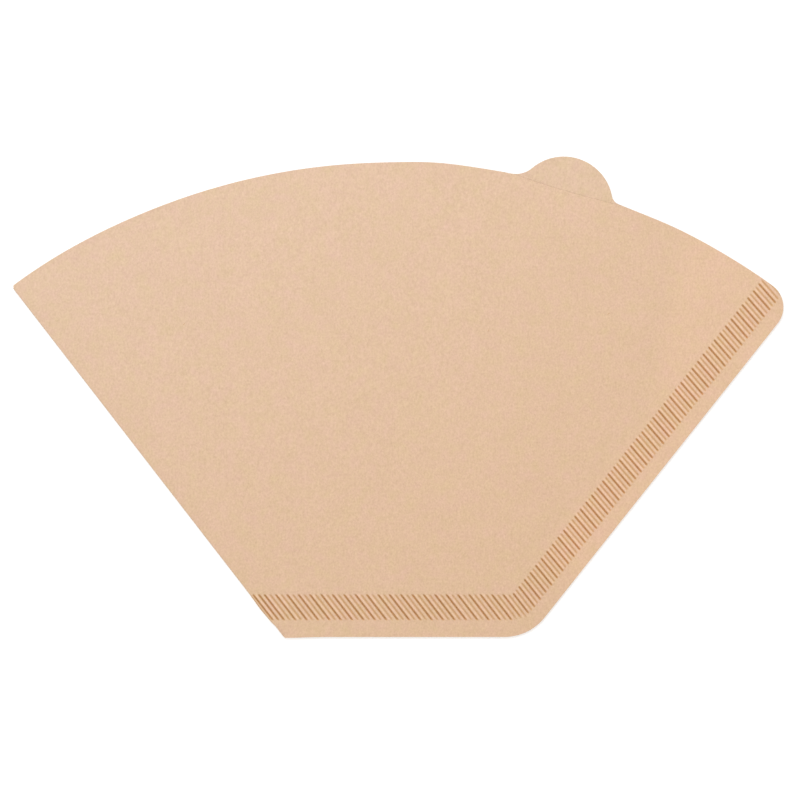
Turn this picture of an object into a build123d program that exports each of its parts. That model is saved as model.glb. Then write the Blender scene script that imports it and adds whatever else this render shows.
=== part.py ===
from build123d import *
import os
from math import ceil, cos, radians, sin, tan

os.makedirs("parts", exist_ok=True)

# Driving sizes of the flat folded sheet, in millimetres and degrees
base_width = 51.2  # bottom edge, from the folded edge to the seam edge
fold_angle = 52.2  # rise of the folded edge above the bottom edge
seam_angle = 51.6  # rise of the seam edge above the bottom edge
fold_length = 91.9  # folded edge, bottom corner to mouth
seam_length = 88.8  # seam edge, sharp corner to sharp corner
mouth_radius = 133.6  # bow of the mouth edge
base_corner_radius = 10.7
mouth_corner_radius = 6.0

# Finger tab on the back ply and the shallow dip opposite it in the front ply
tab_from_fold = 121.6  # along the mouth, from the folded edge to the middle of the tab
tab_radius = 10.1
tab_height = 6.15
tab_fold_root_radius = 5.2  # where the tab leaves the mouth edge, on the side of the fold
tab_seam_root_radius = 2.7
dip_radius = 150.0
dip_depth = 1.2

# Paper
ply = 0.18  # one thickness of paper
ply_gap = 0.08  # air between the plies where they lie closest
mouth_lift = 0.9  # extra gap where the front ply bows up most, at the mouth

# Crimped seams
base_margin = 3.72  # plain paper outside the ribs, bottom edge
base_crimp_width = 5.23
seam_margin = 3.22  # plain paper outside the ribs, seam edge
seam_crimp_width = 4.88
base_pitch = 2.364  # one deep and one shallow groove, along the bottom edge
seam_pitch = 1.866  # the same along the seam edge
rib_lean = 10.6  # ribs of the seam edge lean this far down from square across it
fan_ribs = 6  # ribs over which the lean settles after the corner
deep_groove = 0.36  # below the face of the paper
shallow_groove = 0.16
crest = 0.12  # above the face of the paper
groove_floor = 0.22  # width of a deep groove's floor
crest_place = 0.27  # from the middle of a deep groove, as a share of the pitch
rib_taper = 0.45  # length over which each rib fades out at its ends
landing = 0.5  # pressed flat strip between the ribs and the loose plies
bond = 0.6  # pressed flat strip between the ribs and the loose margin
crimp_corner_cut = 2.4  # the ribs are cut off across the corner between the seams

# Working allowances
sink = 0.02  # the front ply meets its neighbours this far below their faces
lap = 0.2  # plan overlap of pieces of paper that run into each other
reach = 12.0  # cutting and clipping shapes run this far past the paper
dome_columns = 19
dome_rows = 13

seam_thickness = 2 * ply + ply_gap
fold_radius = seam_thickness / 2

# Directions and corners of the outline
fold_run = Vector(-cos(radians(fold_angle)), sin(radians(fold_angle)))
fold_in = Vector(sin(radians(fold_angle)), cos(radians(fold_angle)))
seam_run = Vector(cos(radians(seam_angle)), sin(radians(seam_angle)))
seam_out = Vector(sin(radians(seam_angle)), -cos(radians(seam_angle)))
fold_foot = Vector(0, 0)
seam_foot = Vector(base_width, 0)
fold_tip = fold_foot + fold_run * fold_length
seam_tip = seam_foot + seam_run * seam_length


def seam_corner(base_inset, seam_inset):
    """Point where lines this far inside the bottom and seam edges cross."""
    back = base_inset / seam_run.Y
    foot = seam_foot + seam_run * back
    return foot - Vector(seam_inset / seam_out.X, 0)


def seam_strip(base_near, base_far, seam_near, seam_far):
    """Strip along the bottom and seam edges, between two insets from each of them."""
    outer = seam_corner(base_near, seam_near)
    inner = seam_corner(base_far, seam_far)
    past_fold = Vector(-reach - fold_tip.Y, 0)
    past_mouth = seam_run * (seam_length + reach)
    with BuildSketch() as strip:
        with BuildLine():
            Polyline(
                outer,
                outer + past_mouth,
                inner + past_mouth,
                inner,
                inner + past_fold,
                outer + past_fold,
                close=True,
            )
        make_face()
    return strip.sketch


# Outline of one ply without the tab
with BuildSketch() as sheet:
    with BuildLine():
        mouth = RadiusArc(fold_tip, seam_tip, mouth_radius)
        Polyline(seam_tip, seam_foot, fold_foot, fold_tip)
    make_face()
    fillet(sheet.vertices().sort_by_distance(seam_foot)[0], base_corner_radius)
    fillet(sheet.vertices().sort_by_distance(seam_tip)[0], mouth_corner_radius)

mouth_centre = mouth.arc_center
tab_seat = mouth.position_at(tab_from_fold, position_mode=PositionMode.LENGTH)
tab_out = (tab_seat - mouth_centre).normalized()
tab_centre = tab_seat + tab_out * (tab_height - tab_radius)

# Paper beside the folded edge: both plies stop where the roll of the fold begins
with BuildSketch() as beside_fold:
    with BuildLine():
        roll_foot = fold_in * fold_radius - fold_run * reach
        roll_head = roll_foot + fold_run * 2 * mouth_radius
        across = Vector(base_width + 2 * seam_length, 0)
        Polyline(roll_foot, roll_head, roll_head + across, roll_foot + across, close=True)
    make_face()

with BuildSketch() as back_outline:
    add(sheet.sketch)
    with Locations(Location(tab_centre, (0, 0, -90))):
        Circle(tab_radius)
    fold_root, seam_root = back_outline.vertices().sort_by_distance(tab_centre)[:2].sort_by(Axis.X)
    fillet(seam_root, tab_seam_root_radius)
    fillet(back_outline.vertices().sort_by_distance(fold_root)[0], tab_fold_root_radius)
    add(beside_fold.sketch, mode=Mode.INTERSECT)

# The loose part of the front ply, up to the pressed seams
with BuildSketch() as front_outline:
    add(sheet.sketch)
    with Locations(tab_seat + tab_out * (dip_radius - dip_depth)):
        Circle(dip_radius, mode=Mode.SUBTRACT)
    with Locations(fold_in * lap):
        add(beside_fold.sketch, mode=Mode.INTERSECT)
    add(
        seam_strip(
            -reach,
            base_margin + base_crimp_width + landing - lap,
            -reach,
            seam_margin + seam_crimp_width + landing - lap,
        ),
        mode=Mode.SUBTRACT,
    )

with BuildSketch() as pressed_outline:
    add(sheet.sketch)
    add(beside_fold.sketch, mode=Mode.INTERSECT)
    add(
        seam_strip(
            -reach,
            base_margin + base_crimp_width + landing,
            -reach,
            seam_margin + seam_crimp_width + landing,
        ),
        mode=Mode.INTERSECT,
    )

with BuildSketch() as margin_outline:
    add(sheet.sketch)
    with Locations(fold_in * lap):
        add(beside_fold.sketch, mode=Mode.INTERSECT)
    add(seam_strip(-reach, base_margin - bond, -reach, seam_margin - bond), mode=Mode.INTERSECT)

with BuildSketch() as crimp_outline:
    add(
        seam_strip(
            base_margin,
            base_margin + base_crimp_width,
            seam_margin,
            seam_margin + seam_crimp_width,
        )
    )
    outer_corner = seam_corner(base_margin, seam_margin)
    chamfer(crimp_outline.vertices().sort_by_distance(outer_corner)[0], crimp_corner_cut)
    add(sheet.sketch, mode=Mode.INTERSECT)


def crimp_band(along, outward, pitch, width, length, leans):
    """Ribbed strip of flat facets: four lines across it, from its inner rim to its outer one.

    The strip starts at the corner where the two seams meet. The ribs fade out at both rims.
    leans gives, for each double rib, how far it moves along the strip for each millimetre
    across it.
    """
    corner = seam_corner(base_margin + base_crimp_width, seam_margin + seam_crimp_width)
    wave = [
        (groove_floor / 2, -deep_groove),
        (crest_place * pitch, crest),
        (pitch / 2, -shallow_groove),
        ((1 - crest_place) * pitch, crest),
        (pitch - groove_floor / 2, -deep_groove),
    ]
    lines = []
    for offset, height in ((0, 0), (rib_taper, 1), (width - rib_taper, 1), (width, 0)):
        line_start = corner + outward * offset + Vector(0, 0, seam_thickness)
        line = [line_start + along * leans(0) * offset - Vector(0, 0, deep_groove * height)]
        for rib in range(ceil(length / pitch)):
            for place, level in wave:
                run = rib * pitch + place + leans(rib + place / pitch) * offset
                line.append(line_start + along * run + Vector(0, 0, level * height))
        lines.append(line)

    to_back = Vector(0, 0, -seam_thickness)
    facets = []
    for near, far in zip(lines, lines[1:]):
        for a, b, c, d in zip(near, near[1:], far[1:], far):
            facets += [[a, b, c], [a, c, d]]
    facets += [[point + to_back for point in facet] for facet in facets]
    for rim in (lines[0], lines[-1], [line[0] for line in lines], [line[-1] for line in lines]):
        facets.append(rim + [point + to_back for point in reversed(rim)])
    return Solid(Shell([Face(Wire.make_polygon(facet, close=True)) for facet in facets]))


def base_lean(rib):
    return -1 / tan(radians(fold_angle))


def seam_lean(rib):
    settled = min(rib / fan_ribs, 1)
    at_corner = fold_angle + seam_angle - 90
    return -tan(radians(at_corner + (rib_lean - at_corner) * settled))


base_ribs = crimp_band(
    Vector(-1, 0, 0), Vector(0, -1, 0), base_pitch, base_crimp_width, base_width + reach, base_lean
)
seam_ribs = crimp_band(
    seam_run, seam_out, seam_pitch, seam_crimp_width, seam_length + reach, seam_lean
)

with BuildPart() as crimp:
    add(base_ribs.fuse(seam_ribs, glue=True), clean=False)
    with BuildSketch(Plane.XY.offset(-reach)):
        add(crimp_outline.sketch)
    extrude(amount=2 * reach, mode=Mode.INTERSECT, clean=False)


def front_height(x, y):
    """Underside of the front ply: flat at the fold and the seams, bowed up towards the mouth.

    The fold springs open a little, so the bow is highest a third of the way from it.
    """
    spot = Vector(x, y)
    pocket_corner = seam_corner(base_margin + base_crimp_width, seam_margin + seam_crimp_width)
    from_fold = max(spot.dot(fold_in), sink)
    from_seam = max((pocket_corner - spot).dot(seam_out), sink)
    share = from_fold / (from_fold + from_seam)
    bow = (27 / 4 * share * (1 - share) ** 2) ** 2
    rise = max(y - pocket_corner.Y, 0) / (mouth_centre.Y + mouth_radius - pocket_corner.Y)
    return ply + ply_gap - sink + mouth_lift * bow * rise**2


extent = sheet.sketch.bounding_box()
dome_points = [
    [
        (x, y, front_height(x, y))
        for x in [
            extent.min.X - reach + column * (extent.size.X + 2 * reach) / (dome_columns - 1)
            for column in range(dome_columns)
        ]
    ]
    for y in [
        extent.min.Y - reach + row * (extent.size.Y + 2 * reach) / (dome_rows - 1)
        for row in range(dome_rows)
    ]
]
dome = Face.make_surface_from_array_of_points(dome_points, tol=0.002)

with BuildPart() as front_ply:
    extrude(dome, amount=ply, dir=(0, 0, 1))
    with BuildSketch(Plane.XY.offset(-reach)):
        add(front_outline.sketch)
    extrude(amount=2 * reach, mode=Mode.INTERSECT)

with BuildPart() as fold_roll:
    roll_plane = Plane(origin=fold_tip + fold_run * reach, x_dir=fold_in, z_dir=-fold_run)
    with BuildSketch(roll_plane):
        with Locations((fold_radius, fold_radius)):
            Circle(fold_radius)
            Rectangle(2 * lap, seam_thickness, align=(Align.MIN, Align.CENTER))
            Circle(ply_gap / 2, mode=Mode.SUBTRACT)
            Rectangle(2 * lap, ply_gap, align=(Align.MIN, Align.CENTER), mode=Mode.SUBTRACT)
    extrude(amount=fold_length + 2 * reach)
    with BuildSketch(Plane.XY.offset(-reach)):
        with Locations(mouth_centre):
            Circle(mouth_radius)
        with Locations(fold_foot):
            Rectangle(
                4 * mouth_radius,
                2 * mouth_radius,
                align=(Align.CENTER, Align.MIN),
                mode=Mode.INTERSECT,
            )
    extrude(amount=2 * reach, mode=Mode.INTERSECT)

# Everything but the ribs, with the strip that they fill left open
with BuildPart() as plies:
    with BuildSketch():
        add(back_outline.sketch)
    extrude(amount=ply)
    with BuildSketch():
        add(pressed_outline.sketch)
    extrude(amount=seam_thickness)
    add(fold_roll.part)
    with BuildSketch(Plane.XY.offset(ply)):
        add(margin_outline.sketch)
    extrude(amount=ply_gap, mode=Mode.SUBTRACT)
    add(front_ply.part)
    with BuildSketch(Plane.XY.offset(-reach)):
        add(crimp_outline.sketch)
    extrude(amount=2 * reach, mode=Mode.SUBTRACT)

with BuildPart() as filter_paper:
    add(crimp.part.solid().fuse(*plies.part.solids(), glue=True), clean=False)

# The origin is under the middle of the sheet, at the height of what it lies on
rest_box = filter_paper.part.bounding_box()
rest_centre = rest_box.center()
laid = filter_paper.part.moved(Location((-rest_centre.X, -rest_centre.Y, -rest_box.min.Z)))
laid.label = "filter_paper"
export_step(laid, "parts/filter_paper.step")
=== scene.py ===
from math import atan2, ceil, cos, exp, pi, radians, sin, sqrt, tan

import bmesh
import bpy
from mathutils import Matrix, Vector, noise
from mathutils.geometry import delaunay_2d_cdt


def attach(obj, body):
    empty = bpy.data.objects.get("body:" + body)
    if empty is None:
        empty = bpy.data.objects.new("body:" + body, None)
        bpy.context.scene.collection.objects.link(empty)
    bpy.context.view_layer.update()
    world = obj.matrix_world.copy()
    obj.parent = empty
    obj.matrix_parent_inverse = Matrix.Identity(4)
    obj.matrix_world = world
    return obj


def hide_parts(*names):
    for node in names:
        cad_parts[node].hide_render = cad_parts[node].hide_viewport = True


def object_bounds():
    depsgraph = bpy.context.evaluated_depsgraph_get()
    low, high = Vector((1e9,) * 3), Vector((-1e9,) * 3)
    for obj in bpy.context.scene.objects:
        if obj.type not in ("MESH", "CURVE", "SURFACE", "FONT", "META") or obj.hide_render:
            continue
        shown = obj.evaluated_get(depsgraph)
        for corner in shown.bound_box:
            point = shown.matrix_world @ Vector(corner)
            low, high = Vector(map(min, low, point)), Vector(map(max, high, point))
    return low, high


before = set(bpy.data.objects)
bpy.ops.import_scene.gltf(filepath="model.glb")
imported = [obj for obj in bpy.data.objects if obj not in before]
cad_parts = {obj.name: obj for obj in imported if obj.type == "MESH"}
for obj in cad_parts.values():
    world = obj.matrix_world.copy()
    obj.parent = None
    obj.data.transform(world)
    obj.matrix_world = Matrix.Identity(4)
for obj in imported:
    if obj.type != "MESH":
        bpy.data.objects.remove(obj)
cad_low, cad_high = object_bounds()

# Outline of the folded sheet, in metres and radians
base_width = 0.0512
fold_angle = radians(52.2)
seam_angle = radians(51.6)
fold_length = 0.0919
seam_length = 0.0888
mouth_radius = 0.1336
base_corner_radius = 0.0107
mouth_corner_radius = 0.0055
fold_tip_radius = 0.0004
fold_foot_radius = 0.0006
roll_end_reach = 0.8  # share of its width that the roll of the fold keeps at its cut ends
roll_end_length = 0.0004
foot_sag = 0.00019  # the bottom edge hangs out this much at the fold
foot_sag_length = 0.0094

# Where the cut of the mouth edge swells out or in: its height, its place and its half-width,
# both as shares of the way from the fold to the seam
mouth_swells = (
    (0.00041, 0.032, 0.120),
    (0.00027, 0.536, 0.044),
    (-0.00024, 0.780, 0.039),
    (0.00008, 0.960, 0.050),
)

# Finger tab of the back ply, and the dip opposite it in the front ply
tab_from_fold = 0.12192
tab_radius = 0.01028
tab_height = 0.00620
tab_fold_root_radius = 0.0052
tab_seam_root_radius = 0.0022
dip_radius = 0.150
dip_depth = 0.0013
cut_lean = 0.00026  # the bared cut of the front ply leans out this much at its foot
cut_lean_rise = 0.0003  # the dip has to be this deep for the full lean
cut_lean_reach = 0.0008  # the lean fades out over this much paper

# Paper
ply = 0.00018
ply_gap = 0.00008
mouth_lift = 0.0009
bow_sharpness = 4  # the higher, the shorter the stretch of the mouth that stands open
ripple = 0.00004
ripple_length = 0.022

# Crimped seams
base_margin = 0.00335
base_crimp_width = 0.00549
seam_margin = 0.00283
seam_crimp_width = 0.00515
crimp_corner_radius = 0.00726
base_overrun = 0.00015  # the ribs run this much further into the pocket
seam_overrun = 0.00040
base_pitch = 0.002368
seam_pitch = 0.001871
corner_squeeze = 0.00012  # the first rib of the bottom seam is narrower by this much
squeeze_length = 0.001
lean_at_corner = fold_angle + seam_angle - radians(90)
lean_at_base = radians(11.4)
lean_at_mouth = radians(10.3)
lean_settles = 0.006
deep_groove = 0.00036
shallow_groove = 0.00016
mean_crest = 0.00009
crest_swing = 0.00004
base_high_crest = 0.78  # where the higher crest stands in a pitch, counted from its deep groove
seam_high_crest = 0.28
groove_unevenness = 0.22
groove_stride = 0.73  # steps through the noise from groove to groove, and from band to band
band_stride = 7.1
deep_reach = 0.17
shallow_reach = 0.20
rib_taper = 0.00042
all_deep_from = 44  # counted from the corner, the bottom seam has only deep grooves from this one
last_deep_groove = 88  # the side seam has only shallow grooves past this one
fold_bulge = 0.00012  # the pressed plies spread the fold this much
fold_groove_shade_depth = 0.00013  # the groove that lands on the fold only tints its roll, as dark as a groove this deep: partly pressed paper, partly painted shade
foot_pinch = 0.85  # below the ribs the fold is pressed this much sharper
foot_pinch_rise = 0.0012

# Spacing of the mesh
lines_in_pitch = 16
pitches_past_corner = 3
taper_rows = (-0.00035, 0.0, 0.00015, 0.0003, 0.00045)
middle_rows = 4
rim_spacing = 0.0008
fine_spacing = 0.00012
fold_spacing = 0.0004
row_share = sqrt(0.75)  # rows of even triangles lie this share of their spacing apart

# Spacing of the points in plain paper, and the distances from the ribs between which it holds
lattices = ((0.0006, 0.0005, 0.0011), (0.0011, 0.0011, 0.0022), (0.0020, 0.0022, 1.0))
clear_of_rim = 0.00014
roll_steps = 8
settling_steps = 4
sharp_angle = radians(62)
merge_distance = 1e-7

fold_radius = ply + ply_gap / 2
floor_level = cad_low.z
back_level = floor_level + deep_groove


def turned(vector, angle):
    return Matrix.Rotation(angle, 2) @ vector


fold_run = Vector((-cos(fold_angle), sin(fold_angle)))
fold_in = Vector((sin(fold_angle), cos(fold_angle)))
seam_run = Vector((cos(seam_angle), sin(seam_angle)))
seam_out = Vector((sin(seam_angle), -cos(seam_angle)))
down = Vector((0, -1))
fold_foot = Vector((cad_low.x + fold_length * cos(fold_angle), cad_low.y))
seam_foot = fold_foot + Vector((base_width, 0))
fold_tip = fold_foot + fold_run * fold_length
seam_tip = seam_foot + seam_run * seam_length
ply_foot = fold_foot + fold_in * fold_radius

mouth_chord = seam_tip - fold_tip
chord_side = Vector((-mouth_chord.y, mouth_chord.x)).normalized()
mouth_sag = sqrt(mouth_radius**2 - mouth_chord.length_squared / 4)
mouth_centre = (fold_tip + seam_tip) / 2 - chord_side * mouth_sag
mouth_turn = (fold_tip - mouth_centre).angle(seam_tip - mouth_centre)
tab_out = turned((fold_tip - mouth_centre).normalized(), -tab_from_fold / mouth_radius)
tab_centre = mouth_centre + tab_out * (mouth_radius + tab_height - tab_radius)
dip_centre = mouth_centre + tab_out * (mouth_radius + dip_radius - dip_depth)


def seam_corner(base_inset, seam_inset):
    """Point this far inside the bottom edge and the seam edge."""
    foot = seam_foot + seam_run * (base_inset / seam_run.y)
    return foot - Vector((seam_inset / seam_out.x, 0))


pocket_corner = seam_corner(base_margin + base_crimp_width, seam_margin + seam_crimp_width)


def nested_round(edge_point, edge_run, edge_out, radius):
    """Centre of the round between a straight edge and the mouth edge."""
    start = edge_point - edge_out * radius
    along = (start - mouth_centre).dot(edge_run)
    reach = (mouth_radius - radius) ** 2 - (start - mouth_centre).length_squared + along**2
    return start + edge_run * (sqrt(reach) - along)


def crossings(centre_a, radius_a, centre_b, radius_b):
    """Points where two circles cross: the one right of the way from a to b, then the left one."""
    way = centre_b - centre_a
    along = (radius_a**2 - radius_b**2 + way.length_squared) / (2 * way.length)
    ahead = way.normalized()
    aside = Vector((ahead.y, -ahead.x)) * sqrt(radius_a**2 - along**2)
    return centre_a + ahead * along + aside, centre_a + ahead * along - aside


def on_mouth(point):
    """The point of the mouth edge straight out from here."""
    return mouth_centre + (point - mouth_centre).normalized() * mouth_radius


def ease(share):
    share = min(max(share, 0), 1)
    return share * share * (3 - 2 * share)


def line(start, end, spacing):
    """Points from start towards end, without the end."""
    count = max(1, ceil((end - start).length / spacing))
    return [start.lerp(end, step / count) for step in range(count)]


def arc(centre, start, end, spacing):
    """Points round a centre from start towards end, the short way and without the end."""
    spoke = start - centre
    sweep = atan2(spoke.cross(end - centre), spoke.dot(end - centre))
    count = max(1, ceil(abs(sweep) * spoke.length / spacing))
    return [centre + turned(spoke, sweep * step / count) for step in range(count)]


def swell(spoke):
    """How far the real cut wanders out of the mouth's curve here. The tab keeps its round."""
    share = spoke.angle(fold_tip - mouth_centre) / mouth_turn
    wander = sum(
        height * exp(-(((share - place) / width) ** 2)) for height, place, width in mouth_swells
    )
    up_the_tab = 2 * (spoke.length - mouth_radius) / tab_height
    return wander * (1 - ease(up_the_tab))


def swollen(point):
    spoke = point - mouth_centre
    return point + spoke.normalized() * swell(spoke)


def sagged(point):
    """The bottom edge hangs out a little at the foot of the fold."""
    near_fold = 1 - ease((point.x - fold_foot.x) / foot_sag_length)
    return point + down * foot_sag * near_fold


base_round = seam_corner(base_corner_radius, base_corner_radius)
mouth_round = nested_round(seam_foot, seam_run, seam_out, mouth_corner_radius)
tip_round = nested_round(ply_foot, fold_run, -fold_in, fold_tip_radius)
foot_inset = (fold_radius + fold_foot_radius * (1 - cos(fold_angle))) / sin(fold_angle)
foot_round = fold_foot + Vector((foot_inset, fold_foot_radius))
mouth_start = on_mouth(mouth_round)
mouth_end = on_mouth(tip_round)
crimp_crossing = on_mouth(pocket_corner - seam_out * seam_overrun + seam_run * seam_length)


def front_mouth():
    """Mouth edge of the front ply, from the seam to the fold, with its dip."""
    right, left = crossings(mouth_centre, mouth_radius, dip_centre, dip_radius)
    return (
        arc(mouth_centre, crimp_crossing, right, rim_spacing)
        + arc(dip_centre, right, left, rim_spacing)
        + arc(mouth_centre, left, mouth_end, rim_spacing)
    )


def tab_root(root_radius):
    """Centres of rounds of this radius between the mouth edge and the tab, right and left."""
    return crossings(
        mouth_centre, mouth_radius + root_radius, tab_centre, tab_radius + root_radius
    )


def back_mouth():
    """Mouth edge of the back ply, from the seam to the fold, with its tab."""
    right = tab_root(tab_seam_root_radius)[0]
    left = tab_root(tab_fold_root_radius)[1]
    tab_right = tab_centre + (right - tab_centre).normalized() * tab_radius
    tab_left = tab_centre + (left - tab_centre).normalized() * tab_radius
    return (
        arc(mouth_centre, crimp_crossing, on_mouth(right), rim_spacing)
        + arc(right, on_mouth(right), tab_right, rim_spacing / 2)
        + arc(tab_centre, tab_right, tab_left, rim_spacing)
        + arc(left, tab_left, on_mouth(left), rim_spacing / 2)
        + arc(mouth_centre, on_mouth(left), mouth_end, rim_spacing)
    )


def rim_of(mouth_edge):
    """Cut edge of one ply, from the foot of the fold round to its tip."""
    below = (
        arc(foot_round, foot_round - fold_in * fold_foot_radius,
            foot_round + down * fold_foot_radius, fine_spacing)
        + line(foot_round + down * fold_foot_radius, base_round + down * base_corner_radius,
               rim_spacing)
        + arc(base_round, base_round + down * base_corner_radius,
              base_round + seam_out * base_corner_radius, rim_spacing)
        + line(base_round + seam_out * base_corner_radius,
               mouth_round + seam_out * mouth_corner_radius, rim_spacing)
    )
    above = (
        arc(mouth_round, mouth_round + seam_out * mouth_corner_radius, mouth_start, fine_spacing)
        + arc(mouth_centre, mouth_start, crimp_crossing, fine_spacing)
        + mouth_edge
        + arc(tip_round, mouth_end, tip_round - fold_in * fold_tip_radius, fine_spacing)
    )
    return [sagged(point) for point in below] + [swollen(point) for point in above]


def fold_line():
    """Where the plies run into the roll of the fold, from its tip to its foot."""
    tip = swollen(tip_round - fold_in * fold_tip_radius)
    foot = sagged(foot_round - fold_in * fold_foot_radius)
    return line(tip, foot, fold_spacing)


rounded_corners = (
    (base_round, base_corner_radius, down, seam_out),
    (mouth_round, mouth_corner_radius, seam_out, (mouth_start - mouth_round).normalized()),
)


def rounded(point, corners):
    """Depth inside the first rounded corner whose sector holds the point, or None."""
    for centre, radius, first, last in corners:
        spoke = point - centre
        if first.cross(spoke) > 0 and spoke.cross(last) > 0:
            return radius - spoke.length
    return None


def sheet_depth(point):
    """How far inside the sheet's outline a point is, tab and dip apart."""
    in_corner = rounded(point, rounded_corners)
    if in_corner is not None:
        return in_corner
    spoke = point - mouth_centre
    return min(
        (point - ply_foot).dot(fold_in),
        point.y - fold_foot.y,
        (seam_foot - point).dot(seam_out),
        mouth_radius + swell(spoke) - spoke.length,
    )


def front_depth(point):
    dip_edge = dip_radius - swell(point - mouth_centre)
    return min(sheet_depth(point), (point - dip_centre).length - dip_edge)


def back_depth(point):
    tab_edge = tab_radius + swell(point - mouth_centre)
    return max(sheet_depth(point), tab_edge - (point - tab_centre).length)


crimp_round = seam_corner(base_margin + crimp_corner_radius, seam_margin + crimp_corner_radius)
crimp_corners = ((crimp_round, crimp_corner_radius, down, seam_out),)


def into_crimp(point):
    """Distances into the crimped band, from its rim at the pocket and from its outer rim."""
    spot = point - pocket_corner
    from_pocket = max(base_overrun - spot.y, seam_overrun + spot.dot(seam_out))
    from_margin = rounded(point, crimp_corners)
    if from_margin is None:
        from_base = point.y - fold_foot.y - base_margin
        from_seam = (seam_foot - point).dot(seam_out) - seam_margin
        from_margin = min(from_base, from_seam)
    return from_pocket, from_margin


def base_phase(run):
    """Grooves counted from the corner at this place along the bottom band's inner rim."""
    return (run + corner_squeeze * (1 - exp(-max(run, 0) / squeeze_length))) / base_pitch


def seam_lean(run):
    """Angle at which the ribs of the seam lean down from square across it."""
    settled = exp(-max(run, 0) / lean_settles)
    lean = lean_at_base + (lean_at_mouth - lean_at_base) * run / seam_length
    return lean + (lean_at_corner - lean) * settled


def groove_grip(number, band):
    """Some grooves are pressed a little less than the next."""
    chance = noise.noise(Vector((number * groove_stride, band * band_stride, 0.5)))
    return min(1 + groove_unevenness * chance, 1)


def rib_wave(phase, high_crest, band, depth_of):
    """Height of the pressed ribs at this phase: one deep and one shallow groove in each pitch."""
    number = round(2 * phase)
    deep = depth_of(number)
    depth = (deep_groove if deep else shallow_groove) * groove_grip(number, band)
    reach = deep_reach if deep else shallow_reach
    away = min(abs(phase - number / 2) / reach, 1)
    crest = mean_crest + crest_swing * cos(2 * pi * (phase - high_crest))
    return crest - (crest + depth) * (1 + cos(pi * away)) / 2


def base_groove_is_deep(number):
    return number >= all_deep_from or number % 2 == 0


def seam_groove_is_deep(number):
    return number % 2 == 0 and number <= last_deep_groove


corner_groove = Vector((cos(fold_angle), -sin(fold_angle)))


def grip_at(from_pocket, from_margin):
    """How fully the rollers take hold this far into the crimped band."""
    return ease(from_pocket / rib_taper) * ease(from_margin / rib_taper)


def pressed(point):
    """What the crimping adds to the height of both plies: grooves are below zero."""
    grip = grip_at(*into_crimp(point))
    if grip == 0:
        return 0
    spot = point - pocket_corner
    if corner_groove.cross(spot) < 0:
        phase = base_phase(-spot.x - spot.y / tan(fold_angle))
        return grip * rib_wave(phase, base_high_crest, 0, base_groove_is_deep)
    run = spot.dot(seam_run)
    phase = (run + tan(seam_lean(run)) * spot.dot(seam_out)) / seam_pitch
    return grip * rib_wave(phase, seam_high_crest, 1, seam_groove_is_deep)


def base_rib_point(phase, offset):
    run = phase * base_pitch
    for _ in range(settling_steps):
        run += phase * base_pitch - base_phase(run) * base_pitch
    return pocket_corner + Vector((offset / tan(fold_angle) - run, -offset))


def seam_rib_point(phase, offset):
    run = phase * seam_pitch
    for _ in range(settling_steps):
        run = phase * seam_pitch - tan(seam_lean(run)) * offset
    return pocket_corner + seam_run * run + seam_out * offset


def rib_lines():
    """Rows of points along the ribs, in both bands."""
    bands = (
        (base_rib_point, base_overrun, base_crimp_width,
         ceil(base_width / base_pitch) + pitches_past_corner, 1),
        (seam_rib_point, seam_overrun, seam_crimp_width, ceil(seam_length / seam_pitch), 0),
    )
    lines = []
    for rib_point, overrun, width, pitches, first in bands:
        inner = [row - overrun for row in taper_rows]
        outer = [width - row for row in reversed(taper_rows)]
        gap = (outer[0] - inner[-1]) / (middle_rows + 1)
        middle = [inner[-1] + gap * (row + 1) for row in range(middle_rows)]
        for number in range(first, pitches * lines_in_pitch):
            phase = number / lines_in_pitch
            lines.append([rib_point(phase, offset) for offset in inner + middle + outer])
    return lines


def lattice_points(depth):
    """Points that fill the plain paper, closer together beside the ribs."""
    points = []
    for spacing, near, far in lattices:
        rows = ceil((cad_high.y - cad_low.y) / (spacing * row_share))
        columns = ceil((cad_high.x - cad_low.x) / spacing)
        for row in range(rows):
            for column in range(columns):
                shift = 0.5 * (row % 2) + 0.25
                point = Vector((cad_low.x + (column + shift) * spacing,
                                cad_low.y + row * spacing * row_share))
                from_pocket, from_margin = into_crimp(point)
                beside = max(-from_pocket, -from_margin)
                if near < beside <= far and depth(point) > spacing / 2:
                    points.append(point)
    return points


def ply_plan(mouth_edge, depth):
    """One ply seen from above: its points, its triangles, and its fold and rim by number."""
    fold = fold_line()
    loop = fold + rim_of(mouth_edge)
    points = list(loop)
    creases = []
    for rib in rib_lines():
        last = None
        for point in rib:
            if depth(point) > clear_of_rim:
                points.append(point)
                if last is not None:
                    creases.append((last, len(points) - 1))
                last = len(points) - 1
            else:
                last = None
    points += lattice_points(depth)
    outline = list(range(len(loop)))
    spots, _, triangles, sources, _, _ = delaunay_2d_cdt(
        points, creases, [outline], 1, merge_distance
    )
    number = {source: spot for spot, found in enumerate(sources) for source in found}
    fold_numbers = [number[place] for place in range(len(fold) + 1)]
    rim_numbers = [number[place % len(loop)] for place in range(len(fold), len(loop) + 1)]
    return spots, triangles, fold_numbers, rim_numbers


def bowed(point):
    """How far the front ply stands off the back ply, which is most at the mouth, near the fold."""
    from_fold = max((point - fold_foot).dot(fold_in), 0)
    from_seam = max((pocket_corner - point).dot(seam_out), 0)
    if from_fold + from_seam == 0:
        return 0
    share = from_fold / (from_fold + from_seam)
    bow = (27 / 4 * share * (1 - share) ** 2) ** bow_sharpness
    crown = mouth_centre.y + mouth_radius - pocket_corner.y
    rise = max(point.y - pocket_corner.y, 0) / crown
    return mouth_lift * bow * rise**2


def leaning(point):
    """Where the dip bares the cut of the front ply, its foot stands out a little."""
    spoke = point - mouth_centre
    bared = ease((mouth_radius + swell(spoke) - spoke.length) / cut_lean_rise)
    from_cut = (point - dip_centre).length - dip_radius + swell(spoke)
    return point + spoke.normalized() * cut_lean * bared * (1 - ease(from_cut / cut_lean_reach))


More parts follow.
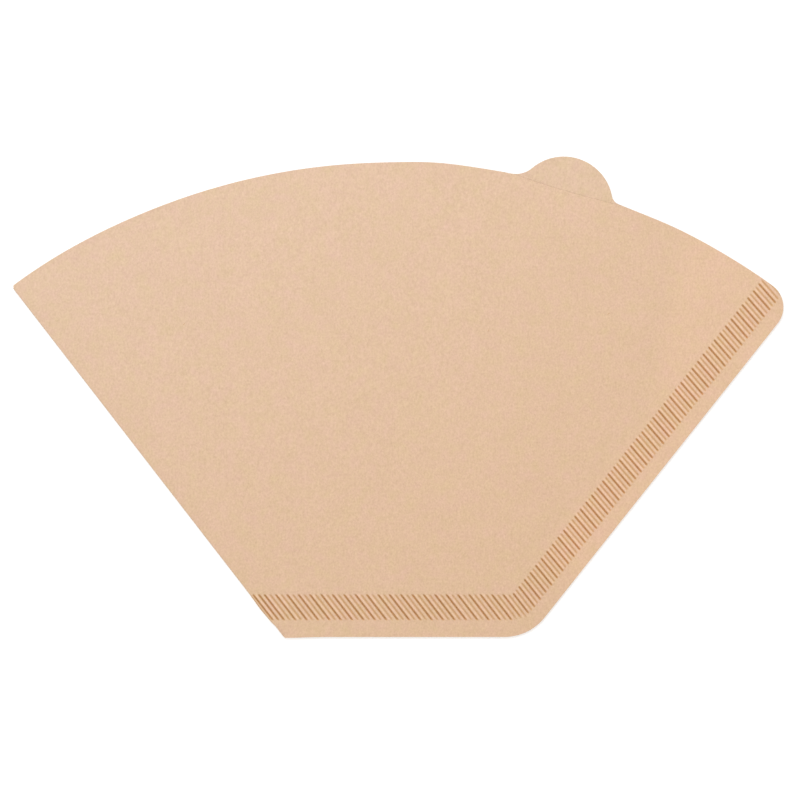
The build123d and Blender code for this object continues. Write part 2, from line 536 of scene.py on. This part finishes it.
def rippled(point):
    """Slow unevenness of paper that lies loose."""
    wave = noise.noise(Vector((point.x, point.y, 0)) / ripple_length)
    return ripple * (1 + wave) / 2


class FoldedSheet:
    """Collects the points and faces of the one sheet that is both plies."""

    def __init__(self):
        self.points = []
        self.faces = []
        self.press = []
        self.inside = []

    def point(self, spot, height, press, inside):
        self.points.append((spot.x, spot.y, height))
        self.press.append(press / deep_groove)
        self.inside.append(inside)
        return len(self.points) - 1

    def layer(self, plan, height_of, inside, place_of=Vector):
        """One face of one ply. Gives the numbers of its points."""
        spots, triangles, _, _ = plan
        numbers = []
        for spot in spots:
            press = pressed(spot)
            height = height_of(spot) + press + rippled(spot)
            numbers.append(self.point(place_of(spot), height, press, inside))
        self.faces += [[numbers[corner] for corner in triangle] for triangle in triangles]
        return numbers

    def strip(self, first, second):
        for a, b, c, d in zip(first, first[1:], second[1:], second):
            self.faces.append([a, b, c, d])

    def roll(self, upper, lower, spread, groove_shading, inside):
        """Half-round strips from the upper line of points to the lower one. Gives them by row."""
        rows = [upper]
        for step in range(1, roll_steps):
            turn = pi * step / roll_steps
            row = []
            for top, bottom, reach, press in zip(upper, lower, spread, groove_shading):
                spot = Vector(self.points[top][:2]) - fold_in * reach * sin(turn)
                share = (1 - cos(turn)) / 2
                high, low = self.points[top][2], self.points[bottom][2]
                row.append(self.point(spot, high + (low - high) * share, press, inside))
            rows.append(row)
        rows.append(lower)
        for first, second in zip(rows, rows[1:]):
            self.strip(first, second)
        return rows


def fold_spread(spots):
    """How far the roll of the fold stands out along its length: less at its cut ends."""
    half_band = base_crimp_width / 2
    spread = []
    for spot in spots:
        from_end = min((spot - spots[0]).length, (spot - spots[-1]).length)
        from_pocket, from_margin = into_crimp(spot)
        squeezed = ease(from_pocket / half_band) * ease(from_margin / half_band)
        rounding = roll_end_reach + (1 - roll_end_reach) * ease(from_end / roll_end_length)
        sharp = 1 - foot_pinch * ease(-from_margin / foot_pinch_rise)
        spread.append((fold_radius + fold_bulge * squeezed) * rounding * sharp)
    return spread


def fold_roll_shading(spots):
    """How dark the groove that lands on the fold tints its roll along its length: partly pressed
    paper, partly painted shade.
    """
    return [-fold_groove_shade_depth * grip_at(*into_crimp(spot)) for spot in spots]


def build_filter():
    """The folded sheet: a front ply and a back ply that are one piece through the fold."""
    front = ply_plan(front_mouth(), front_depth)
    back = ply_plan(back_mouth(), back_depth)
    sheet = FoldedSheet()
    front_level = back_level + ply + ply_gap
    front_top = sheet.layer(front, lambda spot: front_level + ply + bowed(spot), 0)
    front_under = sheet.layer(front, lambda spot: front_level + bowed(spot), 1, leaning)
    back_top = sheet.layer(back, lambda spot: back_level + ply, 1)
    back_under = sheet.layer(back, lambda spot: back_level, 0)

    cuts = ((front[3], front_top, front_under), (back[3], back_top, back_under))
    for rim, top, under in cuts:
        sheet.strip([top[spot] for spot in rim], [under[spot] for spot in rim])

    front_fold, back_fold = front[2], back[2]
    fold_spots = [front[0][spot] for spot in front_fold]
    spread = fold_spread(fold_spots)
    # The groove on the fold only darkens the roll's tint, partly pressed paper and partly painted
    # shade; the roll keeps its round
    groove_shading = fold_roll_shading(fold_spots)
    outer = sheet.roll(
        [front_top[spot] for spot in front_fold],
        [back_under[spot] for spot in back_fold],
        spread,
        groove_shading,
        0,
    )
    inner_share = ply_gap / 2 / fold_radius
    inner = sheet.roll(
        [front_under[spot] for spot in front_fold],
        [back_top[spot] for spot in back_fold],
        [reach * inner_share for reach in spread],
        groove_shading,
        1,
    )
    for end in (0, -1):
        sheet.strip([row[end] for row in outer], [row[end] for row in inner])

    mesh = bpy.data.meshes.new("folded_filter")
    mesh.from_pydata(sheet.points, [], sheet.faces)
    for name, values in (("press", sheet.press), ("inside", sheet.inside)):
        mesh.attributes.new(name, "FLOAT", "POINT").data.foreach_set("value", values)
    shape = bmesh.new()
    shape.from_mesh(mesh)
    bmesh.ops.recalc_face_normals(shape, faces=shape.faces)
    shape.to_mesh(mesh)
    shape.free()
    mesh.shade_smooth()
    mesh.set_sharp_from_angle(angle=sharp_angle)
    piece = bpy.data.objects.new("folded_filter", mesh)
    bpy.context.scene.collection.objects.link(piece)
    return piece


class Term:
    """A socket of a node tree. Arithmetic on it adds Math nodes."""

    def __init__(self, finish, socket):
        self.finish = finish
        self.socket = socket

    def math(self, operation, first, second):
        return self.finish.node("Math", {"operation": operation}, {0: first, 1: second})

    def __add__(self, other):
        return self.math("ADD", self, other)

    def __radd__(self, other):
        return self.math("ADD", other, self)

    def __sub__(self, other):
        return self.math("SUBTRACT", self, other)

    def __rsub__(self, other):
        return self.math("SUBTRACT", other, self)

    def __mul__(self, other):
        return self.math("MULTIPLY", self, other)

    def __rmul__(self, other):
        return self.math("MULTIPLY", other, self)

    def __neg__(self):
        return self.math("MULTIPLY", self, -1)

    def other(self, output):
        """Another output of the same node."""
        return Term(self.finish, self.socket.node.outputs[output])

    def above(self, low, high, rise="SMOOTHSTEP"):
        """0 up to low, 1 from high, and a rise between them that is smooth unless told otherwise."""
        settings = {"interpolation_type": rise, "clamp": True}
        inputs = {"Value": self, "From Min": low, "From Max": high}
        return self.finish.node("MapRange", settings, inputs)


class Finish:
    """The node tree of one material or of the world."""

    def __init__(self, owner):
        owner.use_nodes = True
        self.tree = owner.node_tree
        self.tree.nodes.clear()

    def node(self, kind, settings=None, inputs=None, output=0):
        """Adds a node: its settings come first, then the values and links of its sockets."""
        added = self.tree.nodes.new("ShaderNode" + kind)
        for name, value in (settings or {}).items():
            setattr(added, name, value)
        for name, value in (inputs or {}).items():
            if isinstance(value, Term):
                self.tree.links.new(value.socket, added.inputs[name])
            else:
                added.inputs[name].default_value = value
        return Term(self, added.outputs[output]) if added.outputs else None

    def attribute(self, name):
        return self.node("Attribute", {"attribute_name": name}, output="Fac")

    def place(self):
        return self.node("TexCoord", output="Object")

    def noise(self, place, size, detail=2.0, roughness=0.5):
        """Noise whose lumps are about this many metres across."""
        inputs = {"Vector": place, "Scale": 1 / size, "Detail": detail, "Roughness": roughness}
        return self.node("TexNoise", {}, inputs)

    def stretched(self, place, angle, along):
        """Place turned by an angle and drawn out along it."""
        inputs = {"Vector": place, "Rotation": (0, 0, angle), "Scale": (along, 1, 1)}
        return self.node("Mapping", {"vector_type": "TEXTURE"}, inputs, output="Vector")

    def vectors(self, operation, first, second=None, output="Vector"):
        inputs = {0: first} if second is None else {0: first, 1: second}
        return self.node("VectorMath", {"operation": operation}, inputs, output)

    def mix(self, share, first, second, blend="MIX"):
        settings = {"data_type": "RGBA", "blend_type": blend}
        inputs = {0: share, 6: first, 7: second}
        return self.node("Mix", settings, inputs, output=2)

    def tint(self, share, colour, tint):
        return self.mix(share, colour, self.mix(1.0, colour, tint, "MULTIPLY"))


def grey(value):
    return (value, value, value, 1)


pale_tone = (0.918, 0.655, 0.465, 1)
warm_tone = (0.619, 0.422, 0.281, 1)
rosy_tint = (1.042, 0.973, 1.135, 1)
straw_tint = (0.960, 1.028, 0.873, 1)
# Painted light that falls off across the sheet: cooler towards the tip of the fold, warmer and
# darker towards the corner of the seam
painted_cool_light_tint = (1.000, 1.007, 1.024, 1)
painted_warm_falloff_tint = (1.000, 0.967, 0.917, 1)
light_falloff_direction = (0.54, -0.84, 0)
light_falloff_span = (-0.06, 0.05)
# Painted light on the inside faces, the tab among them: paler and greyer, as with light through the
# single ply from the white floor
through_light_tint = (0.990, 1.012, 1.020, 1)
# Painted light beside the side seam and at the right end of the mouth
seam_painted_light_tint = (1.040, 1.028, 1.025, 1)
# Painted highlight on the crests of the ribs
crest_highlight_tint = (1.120, 1.110, 1.130, 1)
# Grooves darker, partly as denser pressed paper, partly as painted shade
groove_press_and_shade_tint = (0.82, 0.72, 0.51, 1)
fleck_tone = (0.56, 0.30, 0.13, 1)
fleck_spacing = 0.022
fleck_length = 0.0008
fleck_width = 0.00018
fleck_strength = 0.6
fleck_edge = 0.5  # share of a fleck over which it fades out
fleck_odds = (0.55, 0.95)  # cells below the first have no fleck, from the second a full one

# Sizes of the paper's clouds, grain, fuzz and blush, and how strongly the first three shade it
cloud_size = 0.007
grain_size = 0.0009
fuzz_size = 0.00038
blush_size = 0.0030
cloud_shade = 0.13
grain_shade = 0.38
fuzz_shade = 0.90
grain_stretch = 1.17

# Fibres lie in three directions: the angle and the thickness of each lot
fibre_lots = ((0.3, 0.00016), (1.4, 0.00018), (2.5, 0.00017))
fibre_stretch = 9.0
fibre_strength = 0.06
fibre_fade = (0.56, 0.72)

# Matt, a little uneven, with a faint relief
paper_roughness = 0.86
roughness_swing = 0.12
paper_specular = 0.15
relief_depth = 0.00003
relief_strength = 0.35
grain_relief = 0.5
fuzz_relief = 0.4
fibre_relief = 0.35

# Depth of a groove and height of a crest, as shares of the deep groove, that have their full tint:
# the groove's darkening, partly pressed paper and partly painted shade, and the crest's painted
# highlight
full_groove_press_and_shade = 0.42
full_crest_highlight = 0.36

# Painted light: the paper is painted lighter beside the side seam, past the corner, and at the right
# end of the mouth, where more light falls on it
seam_fade = (-0.011, -0.007)
corner_fade = (0.008, 0.020)
side_fade = (0.050, 0.057)
side_direction = (1.0, -0.2, 0)


def bark_flecks(finish, place):
    """A few small darker flecks that lie each its own way, far apart."""
    cells = finish.node(
        "TexVoronoi",
        {"voronoi_dimensions": "2D", "feature": "F1"},
        {"Vector": place, "Scale": 1 / fleck_spacing},
        output="Position",
    )
    dice = finish.node("SeparateColor", {}, {"Color": cells.other("Color")}, output="Red")
    offset = finish.vectors("SUBTRACT", place, cells)
    turned_offset = finish.node(
        "VectorRotate",
        {"rotation_type": "Z_AXIS"},
        {"Vector": offset, "Angle": dice.other("Green") * pi},
        output="Vector",
    )
    shares = finish.vectors("MULTIPLY", turned_offset, (2 / fleck_length, 2 / fleck_width, 0.0))
    away = finish.vectors("LENGTH", shares, output="Value")
    return (1 - away).above(0.0, fleck_edge) * dice.above(*fleck_odds)


def painted_light_share(finish, place):
    """How much painted light the paper gets here: beside the side seam and at the right end of the
    mouth.
    """
    across = finish.vectors("DOT_PRODUCT", place, (*seam_out, 0), output="Value")
    along = finish.vectors("DOT_PRODUCT", place, (*seam_run, 0), output="Value")
    aside = finish.vectors("DOT_PRODUCT", place, side_direction, output="Value")
    seam_edge = seam_foot.dot(seam_out)
    seam_start = seam_foot.dot(seam_run)
    beside_seam = across.above(*(seam_edge + step for step in seam_fade))
    past_corner = along.above(*(seam_start + step for step in corner_fade))
    return 1 - (1 - beside_seam * past_corner) * (1 - aside.above(*side_fade))


def fibre_share(finish, place):
    """Fine strands that cross each other."""
    fibres = None
    for angle, thickness in fibre_lots:
        strand_place = finish.stretched(place, angle, fibre_stretch)
        strand = finish.noise(strand_place, thickness, 1.0).above(*fibre_fade)
        fibres = strand if fibres is None else fibres + strand
    return fibres


def unbleached_paper():
    """Matt unbleached filter paper: cloudy pulp, fine fibres, a few flecks, grooves darkened partly
    as denser pressed paper and partly by painted shade, a painted highlight on the crests, and
    painted light across the sheet.
    """
    material = bpy.data.materials.new("unbleached_paper")
    finish = Finish(material)
    place = finish.place()
    pulp_place = finish.stretched(place, radians(90), grain_stretch)
    clouds = finish.noise(place, cloud_size, 3.0)
    grain = finish.noise(pulp_place, grain_size, 3.0, 0.6)
    fuzz = finish.noise(pulp_place, fuzz_size, 2.0, 0.6)
    blush = finish.noise(place, blush_size, 3.0, 0.7)
    fibres = fibre_share(finish, place)
    run = finish.vectors("DOT_PRODUCT", place, light_falloff_direction, output="Value")
    light_falloff_share = run.above(*light_falloff_span, "LINEAR")

    unevenness = (clouds - 0.5) * cloud_shade + (grain - 0.5) * grain_shade
    shade = unevenness + (fuzz - 0.5) * fuzz_shade + 0.5
    pulp = finish.mix(shade, warm_tone, pale_tone)
    pulp = finish.tint(1.0, pulp, finish.mix(blush, rosy_tint, straw_tint))
    # Painted light falling off from the tip of the fold to the corner of the seam
    pulp = finish.tint(1.0, pulp, finish.mix(light_falloff_share, painted_cool_light_tint, painted_warm_falloff_tint))
    # Painted light: lighter beside the side seam and at the right end of the mouth
    pulp = finish.tint(painted_light_share(finish, place), pulp, seam_painted_light_tint)
    pulp = finish.mix(fibres * fibre_strength, pulp, pale_tone)
    pulp = finish.mix(bark_flecks(finish, place) * fleck_strength, pulp, fleck_tone)

    press = finish.attribute("press")
    # Painted light: the inside faces, the tab among them, paler and greyer, as with light through
    # the single ply
    pulp = finish.tint(finish.attribute("inside"), pulp, through_light_tint)
    # Painted highlight on the crests
    pulp = finish.tint(press.above(0.0, full_crest_highlight, "LINEAR"), pulp, crest_highlight_tint)
    # Grooves darkened partly as denser pressed paper, partly by painted shade
    colour = finish.tint((-press).above(0.0, full_groove_press_and_shade, "LINEAR"), pulp, groove_press_and_shade_tint)

    relief = grain * grain_relief + fuzz * fuzz_relief + fibres * fibre_relief
    bump_inputs = {"Height": relief, "Distance": relief_depth, "Strength": relief_strength}
    bump = finish.node("Bump", {}, bump_inputs)
    shader = finish.node(
        "BsdfPrincipled",
        {},
        {
            "Base Color": colour,
            "Roughness": paper_roughness + (fuzz - 0.5) * roughness_swing,
            "Specular IOR Level": paper_specular,
            "Normal": bump,
        },
    )
    finish.node("OutputMaterial", {}, {"Surface": shader})
    return material


floor_tone = 0.86
floor_glow = 0.40


def pale_floor():
    """White table top that keeps the shadow and stays white to the camera."""
    material = bpy.data.materials.new("pale_floor")
    finish = Finish(material)
    seen = finish.node("LightPath", output="Is Camera Ray")
    matt = finish.node("BsdfDiffuse", {}, {"Color": grey(floor_tone)})
    glow = finish.node("Emission", {}, {"Color": grey(1.0), "Strength": floor_glow})
    lifted = finish.node("AddShader", {}, {0: matt, 1: glow})
    shader = finish.node("MixShader", {}, {0: seen, 1: matt, 2: lifted})
    finish.node("OutputMaterial", {}, {"Surface": shader})
    return material


def lay_floor(width):
    mesh = bpy.data.meshes.new("floor")
    half = width / 2
    corners = [(-half, -half), (half, -half), (half, half), (-half, half)]
    mesh.from_pydata([(x, y, floor_level) for x, y in corners], [], [(0, 1, 2, 3)])
    floor = bpy.data.objects.new("floor", mesh)
    bpy.context.scene.collection.objects.link(floor)
    mesh.materials.append(pale_floor())


warm_light = (1.02, 1.0, 0.97, 1)
cool_light = (0.93, 1.0, 1.08)


def light_room(ambient):
    """Plain world: even light for the paper, white wherever it is seen."""
    world = bpy.data.worlds.new("studio")
    bpy.context.scene.world = world
    finish = Finish(world)
    camera = finish.node("LightPath", output="Is Camera Ray")
    glossy = finish.node("LightPath", output="Is Glossy Ray")
    clear = finish.node("LightPath", output="Is Transmission Ray")
    settings = {"operation": "ADD", "use_clamp": True}
    seen = finish.node("Math", settings, {0: camera + glossy, 1: clear})
    soft = finish.node("Background", {}, {"Color": warm_light, "Strength": ambient})
    white = finish.node("Background", {}, {"Color": grey(1.0), "Strength": 1.0})
    shader = finish.node("MixShader", {}, {0: seen, 1: soft, 2: white})
    finish.node("OutputWorld", {}, {"Surface": shader})


def hang_lamp(name, place, size, power, colour):
    """Soft square lamp that points at the middle of the sheet."""
    lamp = bpy.data.lights.new(name, "AREA")
    lamp.size = size
    lamp.energy = power
    lamp.color = colour
    holder = bpy.data.objects.new(name, lamp)
    holder.location = place
    holder.rotation_euler = (-Vector(place)).to_track_quat("-Z", "Y").to_euler()
    bpy.context.scene.collection.objects.link(holder)


def set_camera(centre, width, lens):
    """Looks straight down, as the sheet was pictured."""
    camera = bpy.data.cameras.new("camera")
    camera.lens = lens
    holder = bpy.data.objects.new("camera", camera)
    holder.location = (*centre, back_level + width * lens / camera.sensor_width)
    bpy.context.scene.collection.objects.link(holder)
    bpy.context.scene.camera = holder


bpy.context.scene.view_settings.view_transform = "Standard"
set_camera(centre=(0.00053, -0.00070), width=0.16662, lens=180)
lay_floor(width=4.0)
light_room(ambient=0.72)
hang_lamp("window", place=(-0.09, 0.26, 0.42), size=0.30, power=0.93, colour=cool_light)

filter_sheet = build_filter()
filter_sheet.data.materials.append(unbleached_paper())
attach(filter_sheet, "root")
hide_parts("filter_paper")
